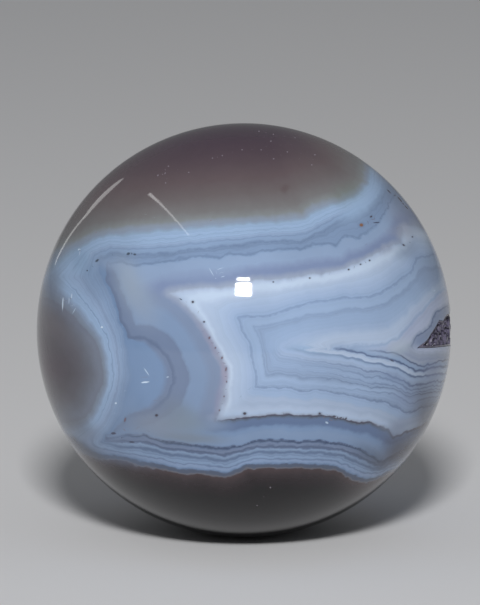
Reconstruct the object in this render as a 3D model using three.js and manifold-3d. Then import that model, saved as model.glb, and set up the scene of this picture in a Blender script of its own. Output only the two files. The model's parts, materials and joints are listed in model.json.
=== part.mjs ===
// Banded agate sphere: a polished ball of agate on a small ground flat, with an open pocket of
// quartz crystals in its right side. Millimetres, +Z up. The origin is the middle of the
// resting flat, and the side where the bands show best faces -Y.
import * as THREE from "three";
import { mergeVertices } from "three/addons/utils/BufferGeometryUtils.js";
import Module from "manifold-3d";

const wasm = await Module();
wasm.setup();

// The ball: rows of facets at even latitudes, cut off by the resting flat at the lowest row
const ballRadius = 32;
const facetAngle = 5; // degrees
const flatLatitude = -80; // degrees
const centreHeight = -ballRadius * Math.sin(THREE.MathUtils.degToRad(flatLatitude));

// The pocket runs round the right side like a flame. Its run leans back with the bands. The
// edges are (distance along the surface from the tip, height over the ball's middle).
const pocketLean = 10; // degrees
const pocketTipAngle = 56.4; // degrees round from the front
const lowerEdge = new THREE.SplineCurve([
  new THREE.Vector2(0, -2.75),
  new THREE.Vector2(5, -2.7),
  new THREE.Vector2(12, -2.45),
  new THREE.Vector2(19, -2.35),
  new THREE.Vector2(25, -1.7),
  new THREE.Vector2(28.5, 0.5),
]);
const upperEdge = new THREE.SplineCurve([
  new THREE.Vector2(0, -2.6),
  new THREE.Vector2(3.2, -1.4),
  new THREE.Vector2(7.2, 1.3),
  new THREE.Vector2(12.5, 2.5),
  new THREE.Vector2(19, 3.1),
  new THREE.Vector2(25, 2.7),
  new THREE.Vector2(28.5, 0.8),
]);
const pocketDepthShare = 1.25; // of half the width
const pocketRise = 1.5; // how far the cutting form stands out of the ball
const pocketRows = 22;
const pocketSides = 14;

// The crust keeps clear of the pocket's wall, and its points stay under the polished surface.
const wallGap = 0.3;
const crustThickness = 0.5;
const surfaceGap = 0.25;
const leastHalfWidth = 0.22;
const crystalCount = 46;
const crystalSides = 6;
const crystalRadius = [0.55, 1.15];
const prismShare = 0.8; // of the crystal's radius
const pointShare = 1.2; // of the crystal's radius
const crystalSpread = 72; // degrees to each side of the pocket's floor
const crystalLean = 0.35;

function closedSolid(geometry) {
  const plain = geometry.clone();
  plain.deleteAttribute("normal");
  plain.deleteAttribute("uv");
  const merged = mergeVertices(plain, 1e-4);
  return new wasm.Manifold(
    new wasm.Mesh({
      numProp: 3,
      vertProperties: new Float32Array(merged.attributes.position.array),
      triVerts: new Uint32Array(merged.index.array),
    }),
  );
}

function solidGeometry(solid) {
  const mesh = solid.getMesh();
  const geometry = new THREE.BufferGeometry();
  geometry.setAttribute("position", new THREE.BufferAttribute(mesh.vertProperties, 3));
  geometry.setIndex(new THREE.BufferAttribute(mesh.triVerts, 1));
  return geometry;
}

// The largest piece, without loose chips or gaps sealed between crystals.
function largestPiece(solid) {
  return solid.decompose().reduce((best, piece) => (piece.volume() > best.volume() ? piece : best));
}

// A round solid about the ball's middle, from the flat up.
function ballGeometry(radius) {
  const profile = [new THREE.Vector2(0, radius * Math.sin(THREE.MathUtils.degToRad(flatLatitude)))];
  for (let latitude = flatLatitude; latitude <= 90; latitude += facetAngle) {
    const angle = THREE.MathUtils.degToRad(latitude);
    const across = latitude < 90 ? radius * Math.cos(angle) : 0;
    profile.push(new THREE.Vector2(across, radius * Math.sin(angle)));
  }
  const geometry = new THREE.LatheGeometry(profile, 360 / facetAngle);
  geometry.rotateX(Math.PI / 2);
  return geometry;
}

// The height on an edge of the pocket at a distance along it.
function edgeHeight(edge, along) {
  const steps = 60;
  let before = edge.getPoint(0);
  for (let step = 1; step <= steps; step += 1) {
    const after = edge.getPoint(step / steps);
    if (after.x >= along) {
      const share = (along - before.x) / (after.x - before.x);
      return THREE.MathUtils.lerp(before.y, after.y, THREE.MathUtils.clamp(share, 0, 1));
    }
    before = after;
  }
  return before.y;
}

// A point of the pocket's wall. The turn is 0 on the floor and 90 degrees at the upper edge.
function pocketPoint(along, turn, inset) {
  const low = edgeHeight(lowerEdge, along);
  const high = edgeHeight(upperEdge, along);
  const halfWidth = (high - low) / 2;
  const inward = Math.cos(turn);
  const reach = inward > 0 ? halfWidth * pocketDepthShare - inset : pocketRise;
  const height = (low + high) / 2 + (halfWidth - inset) * Math.sin(turn);
  const around = THREE.MathUtils.degToRad(pocketTipAngle) + along / ballRadius;
  const latitude = Math.asin(height / ballRadius);
  const radius = ballRadius - reach * inward;
  return new THREE.Vector3(
    radius * Math.cos(latitude) * Math.sin(around),
    -radius * Math.cos(latitude) * Math.cos(around),
    radius * Math.sin(latitude),
  ).applyAxisAngle(new THREE.Vector3(1, 0, 0), -THREE.MathUtils.degToRad(pocketLean));
}

// The distances along the pocket where it is wide enough to take the inset.
function wideRows(inset) {
  const length = lowerEdge.points.at(-1).x;
  const rows = [];
  for (let row = 0; row <= pocketRows; row += 1) {
    const along = (length * row) / pocketRows;
    const width = edgeHeight(upperEdge, along) - edgeHeight(lowerEdge, along);
    if (width / 2 > inset + (inset > 0 ? leastHalfWidth : 0)) {
      rows.push(along);
    }
  }
  return rows;
}

// A closed form that follows the pocket, smaller all round by the inset.
function pocketGeometry(inset) {
  const rows = wideRows(inset);
  const points = [];
  for (const along of rows) {
    for (let side = 0; side < pocketSides; side += 1) {
      points.push(pocketPoint(along, (2 * Math.PI * side) / pocketSides, inset));
    }
  }
  const faces = [];
  for (let row = 0; row < rows.length - 1; row += 1) {
    for (let side = 0; side < pocketSides; side += 1) {
      const next = (side + 1) % pocketSides;
      const a = row * pocketSides + side;
      const b = row * pocketSides + next;
      faces.push(a, b, b + pocketSides, a, b + pocketSides, a + pocketSides);
    }
  }
  for (const row of [0, rows.length - 1]) {
    const ring = points.slice(row * pocketSides, (row + 1) * pocketSides);
    const middle = ring.reduce((sum, point) => sum.add(point), new THREE.Vector3());
    points.push(middle.divideScalar(pocketSides));
    for (let side = 0; side < pocketSides; side += 1) {
      const a = row * pocketSides + side;
      const b = row * pocketSides + ((side + 1) % pocketSides);
      faces.push(points.length - 1, row === 0 ? b : a, row === 0 ? a : b);
    }
  }
  const geometry = new THREE.BufferGeometry().setFromPoints(points);
  geometry.setIndex(faces);
  return geometry;
}

// One six-sided quartz point that grows out of the pocket's wall.
function crystalGeometry(number) {
  const random = (salt) => THREE.MathUtils.seededRandom(number * 13 + salt);
  const rows = wideRows(wallGap + crustThickness);
  const along = THREE.MathUtils.lerp(rows[0], rows.at(-1), (number + random(1)) / crystalCount);
  const turn = THREE.MathUtils.degToRad(crystalSpread) * (2 * random(2) - 1);
  const foot = pocketPoint(along, turn, wallGap + crustThickness / 2);
  const ahead = pocketPoint(along, turn, wallGap + crustThickness);
  const lean = new THREE.Vector3(random(3) - 0.5, random(4) - 0.5, random(5) - 0.5);
  const axis = ahead.sub(foot).normalize().addScaledVector(lean, crystalLean).normalize();
  const radius = THREE.MathUtils.lerp(...crystalRadius, random(6) ** 2);
  const prism = crustThickness / 2 + radius * prismShare;
  const profile = [
    new THREE.Vector2(0, 0),
    new THREE.Vector2(radius, 0),
    new THREE.Vector2(radius, prism),
    new THREE.Vector2(0, prism + radius * pointShare),
  ];
  const geometry = new THREE.LatheGeometry(profile, crystalSides);
  geometry.rotateY(random(7) * Math.PI);
  const turnTo = new THREE.Quaternion().setFromUnitVectors(new THREE.Vector3(0, 1, 0), axis);
  geometry.applyQuaternion(turnTo);
  geometry.translate(foot.x, foot.y, foot.z);
  return geometry;
}

function agateBall() {
  const whole = closedSolid(ballGeometry(ballRadius));
  const pocket = closedSolid(pocketGeometry(0));
  return new THREE.Mesh(
    solidGeometry(whole.subtract(pocket)),
    new THREE.MeshStandardMaterial({ color: 0x9fb0cc, roughness: 0.08, metalness: 0 }),
  );
}

function quartzDruse() {
  const outside = closedSolid(pocketGeometry(wallGap));
  let crust = outside.subtract(closedSolid(pocketGeometry(wallGap + crustThickness)));
  for (let number = 0; number < crystalCount; number += 1) {
    crust = crust.add(closedSolid(crystalGeometry(number)));
  }
  const underSurface = closedSolid(ballGeometry(ballRadius - surfaceGap));
  return new THREE.Mesh(
    solidGeometry(largestPiece(crust.intersect(outside).intersect(underSurface))),
    new THREE.MeshStandardMaterial({ color: 0xa9a5ac, roughness: 0.15, metalness: 0 }),
  );
}

const agate = agateBall();
agate.name = "agate_ball";
const druse = quartzDruse();
druse.name = "quartz_druse";

const sphere = new THREE.Group();
sphere.add(agate, druse);
sphere.position.z = centreHeight;

export default sphere;
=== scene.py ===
# Banded agate sphere: the polished ball with its bands, and the quartz crystals in its pocket.
# Shapes are worked out in millimetres from the ball's middle and handed over in metres. The
# face is the side that shows the bands best. It looks towards the camera, leaning back a
# little, and a place on it is given as (across, up) in millimetres.
import json
import math

import bmesh
import bpy
import numpy as np
from mathutils import Matrix, Vector

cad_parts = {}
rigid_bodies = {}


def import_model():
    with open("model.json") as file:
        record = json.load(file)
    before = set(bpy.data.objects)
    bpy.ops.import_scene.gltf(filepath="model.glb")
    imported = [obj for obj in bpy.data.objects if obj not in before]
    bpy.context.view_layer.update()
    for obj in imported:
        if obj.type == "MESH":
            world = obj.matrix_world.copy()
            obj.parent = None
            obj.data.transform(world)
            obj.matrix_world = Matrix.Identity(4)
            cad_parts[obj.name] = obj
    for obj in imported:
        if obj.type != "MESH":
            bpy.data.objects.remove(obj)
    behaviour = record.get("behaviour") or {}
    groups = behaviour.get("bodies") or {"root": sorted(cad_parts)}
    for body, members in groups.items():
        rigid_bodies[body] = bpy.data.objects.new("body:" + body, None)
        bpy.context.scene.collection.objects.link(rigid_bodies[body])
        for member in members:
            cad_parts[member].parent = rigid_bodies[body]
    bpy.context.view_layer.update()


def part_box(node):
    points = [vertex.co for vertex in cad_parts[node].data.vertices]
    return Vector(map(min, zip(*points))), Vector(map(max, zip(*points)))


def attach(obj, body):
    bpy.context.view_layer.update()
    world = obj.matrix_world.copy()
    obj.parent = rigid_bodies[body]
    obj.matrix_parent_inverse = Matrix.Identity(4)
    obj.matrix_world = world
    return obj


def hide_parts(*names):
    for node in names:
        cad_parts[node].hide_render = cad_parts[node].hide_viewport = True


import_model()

MM = 0.001
LOW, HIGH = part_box("agate_ball")
BALL_RADIUS = (HIGH.y - LOW.y) / 2 / MM
CENTRE = Vector((0, 0, HIGH.z - BALL_RADIUS * MM))
POLISH_LOSS = 0.015
SURFACE_RADIUS = BALL_RADIUS - POLISH_LOSS
FACE_LEAN = math.radians(10)
ACROSS = np.array((1, 0, 0))
UP = np.array((0, math.sin(FACE_LEAN), math.cos(FACE_LEAN)))
NEAR = np.array((0, -math.cos(FACE_LEAN), math.sin(FACE_LEAN)))
FACE_AXES = np.stack((ACROSS, UP, NEAR))
# A smooth random value is the sum of so many waves, with wavelengths spread so far.
RIPPLE_WAVES = 9
RIPPLE_SPREAD = (0.6, 1.6)

# The camera and the lamps are placed by the face's directions: across, up and towards the
# camera. The camera's distance and aim are in millimetres, and the lamps' places in metres.
CAMERA_DISTANCE = 1200
CAMERA_LENS = 462.9
CAMERA_SENSOR = 36
CAMERA_CLIP = (0.05, 20)
CAMERA_AIM = (-0.62, 4.32)
SOFTBOX_SPREAD = math.radians(60)
SOFTBOXES = [  # name, place, size, power
    ("key_softbox", (-0.012, 0.762, 1.848), (0.28, 0.235), 3.05),
    ("key_strip", (-0.012, 0.945, 1.767), (0.23, 0.05), 0.22),
]
STRIP_LAMPS = [  # name, start, end, width, power, shape
    ("side_lens", (-0.86, 1.08, -1.44), (-1.08, 0.74, -1.51), 0.19, 0.2, "ELLIPSE"),
    ("side_strip", (-1.06, 0.74, -1.51), (-1.0, 0.36, -1.69), 0.07, 0.08, "RECTANGLE"),
    ("top_strip", (-0.66, 0.95, -0.3), (-1.16, 2.0, 1.19), 0.021, 0.45, "RECTANGLE"),
]
SKY_COLOUR = (0.95, 0.97, 1.0, 1)
SKY_POWER = 0.17
FLOOR_HALF_WIDTH = 4
FLOOR_LOOK = {"Base Color": (0.78, 0.78, 0.79, 1), "Roughness": 0.9, "Specular IOR Level": 0.2}


def front(upper, lower, points):
    """The top, left and bottom line of a front. They meet at two of its points, or at its tip."""
    first, second = points.index(upper), points.index(lower)
    return {
        "top": points[: first + 1],
        "left": points[first : second + 1],
        "bottom": points[second:],
    }


# The fronts where one band gives way to the next, from the clear stone inwards: the two points
# where a front's lines meet, and all its points from the upper right round the left to the
# lower right.
CLEAR_EDGE = front((-44, 5), (-44, -16), [
    (18.8, 29.4), (18.8, 26), (18.5, 22.5), (17, 21.1), (14.3, 19.8), (10.4, 18.7), (8.9, 17.4),
    (4.7, 17), (-0.6, 16.7), (-9.2, 16), (-12.7, 15.8), (-18.5, 15.2), (-22.5, 14.7),
    (-24.9, 13.5), (-28.4, 12.2), (-34.6, 9.6), (-44, 5), (-34.6, 5.8), (-29.9, 5.1), (-27.6, 3.8),
    (-25.6, 2.2), (-22.2, -1.6), (-21.5, -4.2), (-21, -6.4), (-21.3, -8.3), (-22.3, -10.2),
    (-23, -12.2), (-24.4, -13.5), (-26.9, -14.2), (-31.5, -15), (-44, -16), (-28.4, -16.9),
    (-26.1, -18.7), (-21.4, -19.8), (-17.9, -19.7), (-16.2, -20.6), (-13.4, -20.9), (-9.2, -21.8),
    (-5.7, -21.8), (-2.8, -22.4), (-0.5, -21.5), (0.5, -20.8), (11.6, -20.9), (13.9, -21.3),
    (17.3, -23.2), (18.9, -23.4), (28.7, -19.2),
])
FINE_BANDS_END = front((-22.1, 11), (-21.9, -17.1), [
    (21.6, 26.3), (21.3, 22.3), (20.4, 20.2), (18.5, 18.6), (16.4, 17.7), (12.2, 15.2),
    (9.8, 13.9), (8.5, 13.5), (2.9, 13.5), (0.4, 13), (-8.5, 12.1), (-10.6, 11.7), (-17.6, 11.4),
    (-20, 11.8), (-22.1, 11), (-22, 8.9), (-19.8, 4.2), (-18.4, 0.1), (-17.8, -4.5), (-17.8, -7.5),
    (-18.5, -11.7), (-19.2, -13.6), (-21.9, -17.1), (-18.5, -18), (-15.8, -18.1), (-12.7, -18.8),
    (-8.8, -19.5), (-5.9, -19.6), (-2.9, -20.1), (1.5, -18.7), (11.5, -18.8), (14.2, -19.2),
    (19.4, -21.3), (20.6, -21.3), (25, -19.1), (28.1, -17.4),
])
EYE = front((-20.6, 10.3), (-21.4, -16.7), [
    (24.4, 22.4), (22.6, 20), (20.7, 16.6), (19.1, 15.2), (16.9, 13.9), (16.3, 14.3), (14.9, 14.2),
    (14, 12.8), (12.9, 13.3), (10.4, 12.9), (8.5, 12.4), (2.9, 12.1), (1, 11.5), (-2.1, 11.6),
    (-3.6, 11), (-5.7, 11.2), (-7.9, 11.1), (-16.2, 9.8), (-17.9, 10.2), (-20.6, 10.3),
    (-20.8, 7.5), (-19.4, 4.7), (-18.7, 1.9), (-17.4, -1.1), (-15.2, -1.1), (-13.3, -2.3),
    (-11.5, -4.1), (-10.8, -5.9), (-10.8, -7.8), (-11.7, -9.9), (-13.8, -12), (-17.5, -12.9),
    (-19.1, -14.6), (-21.4, -16.7), (-18.5, -15.8), (-15.3, -15.8), (-12, -16.8), (-8.7, -17.2),
    (-3.1, -17.9), (-0.9, -17.6), (1.6, -16.8), (3.8, -16.5), (6, -16.6), (8.3, -16.9),
    (11.4, -16.7), (14.5, -17.2), (17.9, -18.1), (19.5, -19.2), (20.6, -20.2), (27.9, -16.6),
])
EYE_RING_LEFT = [
    (-20.1, 9.8), (-19.1, 8), (-18.6, 6.3), (-16.3, 1), (-13.8, 0.7), (-11.5, -0.6), (-10.3, -1.8),
    (-8.9, -4.6), (-8.2, -6.4), (-8.3, -7.9), (-9.4, -11), (-10.9, -12.4), (-13.3, -13.7),
    (-20, -16.1),
]
EYE_RING_WIDTH = 0.46
EYE_RING = {
    "top": [(across, up - EYE_RING_WIDTH) for across, up in EYE["top"]],
    "left": EYE_RING_LEFT,
    "bottom": [(across, up + EYE_RING_WIDTH) for across, up in EYE["bottom"]],
}
WHITE_EDGE = front((-11, 5.6), (-4.4, -13.6), [
    (31.8, 14.3), (28.3, 15.2), (25.7, 16), (24.2, 15.6), (24, 13.1), (22.4, 12.9), (20.9, 12),
    (17.7, 10.4), (15.4, 9.3), (11.6, 8.4), (9.9, 8.4), (8.5, 8), (4.8, 7.5), (1.6, 7.6),
    (-1.2, 6.5), (-3.7, 6.3), (-6.6, 6.3), (-8.5, 6), (-11, 5.6), (-9.5, 4.6), (-6.8, 1.7),
    (-5.6, -0.2), (-2.6, -5.5), (-2.5, -7.1), (-2.9, -9), (-2.9, -10.5), (-4.4, -13.6),
    (-2, -13.5), (0.2, -13.2), (2.7, -12.9), (6, -12.6), (7.6, -12.9), (11.8, -12.9),
    (13.8, -13.1), (17.4, -14), (18.9, -13.8), (19.7, -14.2), (22, -15.2), (22.7, -16.2),
    (23.5, -16), (25.9, -15.2), (31.8, -12.6),
])
WHITE_END = front((-0.8, 2), (1.8, -8.5), [
    (32.6, 12.4), (26.2, 11), (25.6, 9.2), (24.4, 8.2), (22.3, 6.6), (20.4, 5.6), (18.9, 5),
    (15.1, 5), (13, 4.6), (9.7, 4.2), (6.8, 3.3), (3.9, 2.2), (-0.8, 2), (-0.3, 0.2), (0.7, -1.7),
    (1.7, -5.9), (1.8, -8.5), (6.9, -8.6), (8.1, -9), (9.9, -9.2), (10.6, -8.9), (12.3, -9),
    (14, -9.4), (16.3, -9.7), (18, -10.4), (21.5, -10.8), (22.2, -11.4), (23.2, -11.7),
    (24.3, -12.5), (25.7, -12.4), (27.5, -11.6), (29.3, -11.5), (32.6, -10.7),
])
BLUE_EDGE = front((1.4, 0.6), (3.4, -6.7), [
    (32.6, 10), (27.5, 9.5), (26.8, 9.2), (25.9, 7.8), (24, 5.7), (21.8, 4.5), (21.1, 3.9),
    (19, 3.4), (15.8, 3.3), (12.9, 2.5), (9.7, 2.4), (7.8, 1.7), (3.9, 0.8), (1.4, 0.6), (2, -0.4),
    (2.6, -2.1), (3.4, -6.7), (5.4, -6.5), (7.7, -6.7), (8.9, -7.2), (11.2, -7.1), (13.5, -7.3),
    (18.7, -8.5), (20.3, -8.5), (23.4, -9.1), (24.8, -10), (27.5, -9.6), (32.6, -9.2),
])
LONG_WEDGE = front((5.8, -2.4), (5.8, -2.4), [
    (32.6, 9), (30, 7.9), (27.2, 5.4), (23.9, 2.3), (21.6, 0.7), (16.9, 0.3), (13.8, 0.1),
    (9.9, -0.8), (8.7, -0.9), (5.8, -2.4), (8.4, -3.1), (10.4, -3.5), (14.5, -3.8), (16, -4.3),
    (17.5, -4.5), (19.2, -5.1), (20.3, -5.1), (22.1, -5.5), (23.2, -5.8), (24.1, -6.3),
    (25.7, -7.2), (26.9, -7.2), (28.5, -6.8), (33.3, -6.6),
])
DARK_WEDGE = front((13.5, -2.7), (13.5, -2.7), [
    (33.3, 7.5), (30.9, 6.7), (29.3, 5.4), (23.2, -1.1), (21.6, -1.9), (16.1, -2.3), (13.5, -2.7),
    (15.2, -2.9), (16.3, -3.2), (17.8, -3.4), (19.2, -4), (20.6, -3.9), (22.3, -4.5), (22.9, -4.5),
    (23.6, -4.9), (24.7, -5.4), (26, -6.2), (27.4, -6.1), (28.9, -5.6), (33.3, -5.6),
])
BEIGE_WEDGE = front((25.3, -2.4), (25.3, -2.4), [
    (33.3, 4.1), (31.8, 3.9), (30, 3.1), (29.3, 2.8), (28.5, 0.8), (27.4, -0.4), (26.1, -1),
    (25.7, -1.9), (25.3, -2.4), (26.1, -3), (27.6, -3.2), (33.3, -3.1),
])
POCKET_EDGE = front((26.3, -2.7), (26.3, -2.7), [
    (33.3, 3.3), (31.7, 2.8), (31.5, 2.5), (30.7, 2), (30.5, 1.5), (29.8, 1.6), (28, -1.3),
    (26.3, -2.7), (33.3, -2.3),
])
FRONTS = [
    CLEAR_EDGE, FINE_BANDS_END, EYE, EYE_RING, WHITE_EDGE, WHITE_END, BLUE_EDGE, LONG_WEDGE,
    DARK_WEDGE, BEIGE_WEDGE, POCKET_EDGE,
]
WALLS = ("top", "left", "bottom")
# The usual depth of each front below the clear stone, in millimetres
FRONT_DEPTHS = (0, 3.4, 4.7, 5.4, 9.7, 13, 14.8, 17.4, 19.6, 21.4, 23)
CORE_DEPTH = 3  # how far past the last front its level fills up, in millimetres
WALL_BLEND = 0.25  # how softly one wall's colours give way to the next wall's, in millimetres
FAR = 200
CLEAR_EDGE_RISE = -10  # how high the first front's bottom line rises far to the right

# Lines at the right below the long wedges, which part the levels there: (level, line). They
# take over from the fronts' own levels between two distances across the face.
FAN_LINES = [
    (5, WHITE_END["bottom"]),
    (5.45, [
        (5, -8), (13, -8.6), (20.6, -9.3), (22.9, -9.6), (24, -10.2), (25.1, -11), (25.9, -11),
        (27.6, -10.3), (33, -9.9),
    ]),
    (6, BLUE_EDGE["bottom"]),
    (6.25, [
        (6.9, -5.9), (11.4, -6.3), (13.7, -6.7), (15.2, -7.1), (17.5, -7.5), (18.7, -8.1),
        (19.8, -7.9), (21.3, -8.3), (22.9, -8.5), (24.5, -9.4), (25.6, -9.5), (29.4, -9),
    ]),
    (6.45, [
        (8.4, -5.1), (11.4, -5.3), (15.2, -6), (17.5, -6.6), (18.4, -7), (19.8, -7), (22.1, -7.4),
        (25.6, -9), (26.5, -9), (27.8, -8.6), (29.7, -8.4),
    ]),
    (6.67, [
        (8.4, -4.4), (11.4, -4.7), (13.7, -5.1), (16.7, -5.4), (18.6, -6.2), (20.6, -6.2),
        (22.1, -6.7), (23.7, -7.5), (24.4, -7.7), (25.2, -8.3), (26, -8.4), (27.6, -8.2),
        (28.9, -7.7), (29.9, -7.8),
    ]),
    (7, LONG_WEDGE["bottom"]),
    (8, DARK_WEDGE["bottom"]),
]
FAN_BLEND = (8, 13)

# The darkest lines there, which keep their own places: (line, how far over it, half width,
# where it starts across the face, share of the shown brightness kept at its start and at the
# right)
BEIGE_LINE = [
    (18, -3), (20.6, -3.1), (21.8, -3.35), (22.9, -3.4), (24, -3.9), (25.4, -4.8), (26.1, -5.2),
    (27.4, -5.5), (28.7, -5.1), (29.7, -4.7), (33.3, -4.4),
]
VEINS = [
    (LONG_WEDGE["bottom"], 0.1, 0.23, 7.0, 0.95, 0.67),
    (DARK_WEDGE["bottom"], 0.05, 0.25, 13.6, 0.79, 0.63),
    (BEIGE_LINE, 0, 0.21, 18.8, 0.76, 0.67),
]
VEIN_REACH = 3
VEIN_ONSET = (-0.3, 0.9)  # from where to where round its start a vein sets in
# The lines at the right grow stronger between these distances across the face.
FAN_REACH = (9, 25)

COLOURS = {
    "snow": (189, 206, 228),
    "milk": (175, 192, 217),
    "pale": (169, 188, 215),
    "mist": (161, 181, 211),
    "sky": (155, 180, 212),
    "air": (150, 172, 204),
    "haze": (144, 165, 196),
    "blue": (138, 161, 193),
    "denim": (130, 152, 184),
    "steel": (121, 146, 181),
    "slate": (117, 133, 162),
    "storm": (108, 126, 156),
    "navy": (99, 119, 154),
    "iris": (127, 143, 177),
    "lilac": (137, 155, 187),
    "dove": (142, 155, 181),
    "sand": (153, 165, 187),
    "pearl": (170, 181, 206),
    "smoke": (128, 142, 170),
    "rim grey": (140, 152, 169),
    "rim low": (141, 156, 178),
    "rim blue": (144, 166, 191),
    "vapour": (153, 175, 206),
    "chalk": (163, 180, 206),
    "ash": (128, 145, 174),
    "fog": (131, 144, 163),
    "veil": (138, 155, 181),
    "moss": (131, 136, 139),
    "stone": (120, 119, 121),
    "taupe": (108, 101, 103),
    "clay": (99, 87, 91),
    "mauve": (88, 75, 82),
    "plum": (74, 59, 72),
    "night": (58, 44, 60),
    "iron": (120, 128, 145),
    "lead": (107, 112, 125),
    "pewter": (96, 95, 105),
    "dusk": (84, 80, 89),
    "soot": (12, 8, 12),
    "umber": (34, 24, 29),
    "bark": (55, 45, 49),
    "russet": (76, 62, 65),
    "thread": (111, 113, 124),
    "bruise": (88, 98, 119),
    "gleam": (141, 162, 195),
    "shade": (95, 109, 131),
    "vug": (62, 57, 70),
}
# The colours down each wall: (level, colour). Whole levels are the fronts in their order, and
# below 0 the level is the distance into the clear stone in millimetres.
TOP_BANDS = [
    # Far into the clear stone the colours darken partly by its depth and partly by painted shade
    # towards the rim
    (-16, "night"), (-12.3, "plum"), (-8.8, "mauve"), (-6.4, "clay"), (-4, "taupe"),
    (-1.7, "stone"), (-0.7, "moss"), (0, "rim grey"), (0.12, "rim low"), (0.2, "rim blue"),
    (0.29, "sky"), (0.6, "sky"), (0.66, "air"), (0.78, "blue"), (0.96, "blue"), (1.05, "denim"),
    (2.3, "denim"), (2.7, "blue"), (3.05, "haze"), (3.3, "haze"), (3.45, "lilac"), (3.61, "iris"),
    (3.72, "iris"), (3.84, "dove"), (3.94, "sand"), (4.03, "milk"), (4.12, "snow"), (4.23, "snow"),
    (4.35, "milk"), (4.5, "pale"), (4.72, "mist"), (4.96, "air"), (5.15, "air"), (5.35, "vapour"),
    (5.85, "vapour"), (6, "air"), (6.1, "haze"), (6.3, "air"), (6.7, "vapour"), (7, "mist"),
    (7.2, "pale"), (7.4, "milk"), (7.8, "milk"), (7.95, "pale"), (8.05, "mist"), (8.2, "pearl"),
    (8.75, "pearl"), (8.92, "dove"), (9, "storm"), (9.1, "smoke"), (11, "smoke"),
]
LEFT_BANDS = [
    # Far into the clear stone the colours darken partly by its depth and partly by painted shade
    # towards the rim
    (-16, "night"), (-9, "plum"), (-5.5, "dusk"), (-3.6, "pewter"), (-2, "lead"), (-0.8, "iron"),
    (-0.2, "iron"), (0.05, "fog"), (0.15, "veil"), (0.27, "sky"), (0.4, "sky"), (0.55, "air"),
    (0.66, "haze"), (0.85, "blue"), (0.98, "denim"), (1.15, "steel"), (1.8, "steel"),
    (1.93, "slate"), (2.2, "slate"), (2.94, "slate"), (3.06, "denim"), (3.4, "denim"),
    (3.6, "ash"), (3.8, "ash"), (3.9, "dove"), (3.97, "sand"), (4.04, "milk"), (4.14, "snow"),
    (4.24, "milk"), (4.5, "pale"), (4.78, "mist"), (5, "air"), (5.3, "vapour"), (5.9, "vapour"),
    (6, "air"), (6.5, "haze"), (7, "air"), (11, "air"),
]
BOTTOM_BANDS = [
    # The clear stone at the bottom is dark partly in its own colour and partly by painted shade
    # under the ball
    (-16, "soot"), (-3.3, "soot"), (-2, "umber"), (-0.9, "bark"), (-0.1, "russet"),
    (0.05, "thread"), (0.13, "bruise"), (0.27, "bruise"), (0.4, "steel"), (0.5, "gleam"),
    (0.6, "gleam"), (0.7, "blue"), (0.88, "blue"), (1.02, "denim"), (1.2, "denim"), (1.4, "blue"),
    (1.55, "slate"), (1.75, "slate"), (1.93, "storm"), (2.2, "storm"), (2.4, "slate"),
    (2.7, "steel"), (3, "denim"), (3.25, "denim"), (3.48, "steel"), (3.63, "navy"), (3.85, "navy"),
    (3.95, "shade"), (4.04, "sand"), (4.12, "pale"), (4.22, "milk"), (4.38, "chalk"),
    (4.6, "chalk"), (4.72, "vapour"), (4.9, "air"), (5.1, "haze"), (5.3, "air"), (5.65, "vapour"),
    (5.85, "haze"), (6.1, "haze"), (6.36, "air"), (6.55, "haze"), (6.8, "mist"), (6.95, "vapour"),
    (7.15, "sky"), (7.3, "milk"), (7.6, "milk"), (7.8, "mist"), (7.95, "haze"), (8.05, "blue"),
    (8.25, "haze"), (8.4, "sand"), (8.55, "dove"), (8.8, "sand"), (9.2, "pearl"), (11, "pearl"),
]
# Thin dark lines: (level, half width in millimetres, share of the shown brightness that is kept
# at the left and at the right end of the line)
TOP_LINES = [
    (0.48, 0.14, 0.95, 0.93), (0.61, 0.12, 0.96, 0.95), (0.77, 0.16, 0.95, 0.94),
    (1, 0.26, 0.91, 0.89), (1.35, 0.2, 0.96, 0.95), (2, 0.3, 0.92, 0.88), (5, 0.26, 0.91, 0.9),
    (6, 0.24, 0.95, 0.93), (8.03, 0.28, 0.97, 0.94), (9, 0.18, 0.93, 0.9),
]
LEFT_LINES = [
    (0.4, 0.15, 0.88, 0.88), (0.66, 0.16, 0.95, 0.95), (0.86, 0.15, 0.96, 0.96),
    (2.05, 0.5, 0.92, 0.92), (5, 0.28, 0.91, 0.91), (6, 0.22, 0.95, 0.95),
]
BOTTOM_LINES = [
    (0.68, 0.17, 0.85, 0.85), (0.93, 0.13, 0.93, 0.9), (1.16, 0.36, 0.84, 0.84),
    (1.56, 0.34, 0.82, 0.82), (2, 0.32, 0.75, 0.68), (4, 0.22, 0.62, 0.52), (5, 0.2, 0.88, 0.78),
    (5.45, 0.15, 1, 0.84), (6, 0.2, 0.93, 0.75), (6.25, 0.17, 0.97, 0.79),
    (6.45, 0.18, 0.97, 0.79), (6.67, 0.22, 0.95, 0.7),
]
WALL_BANDS = {
    "top": (TOP_BANDS, TOP_LINES),
    "left": (LEFT_BANDS, LEFT_LINES),
    "bottom": (BOTTOM_BANDS, BOTTOM_LINES),
}
LONGEST_RAMP = 2.5  # the most levels on one colour ramp
# How much of each line's loss red, green and blue light take: most lines look blue, and the
# line under the white band brown.
LINE_TINT = (1.05, 1.0, 0.86)
BROWN_LINE = 4.0
BROWN_TINT = (0.95, 1.03, 1.0)
LINE_CORE = 0.25  # the share of a line's half width that is fully dark
DISPLAY_POWER = 2.2
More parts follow.
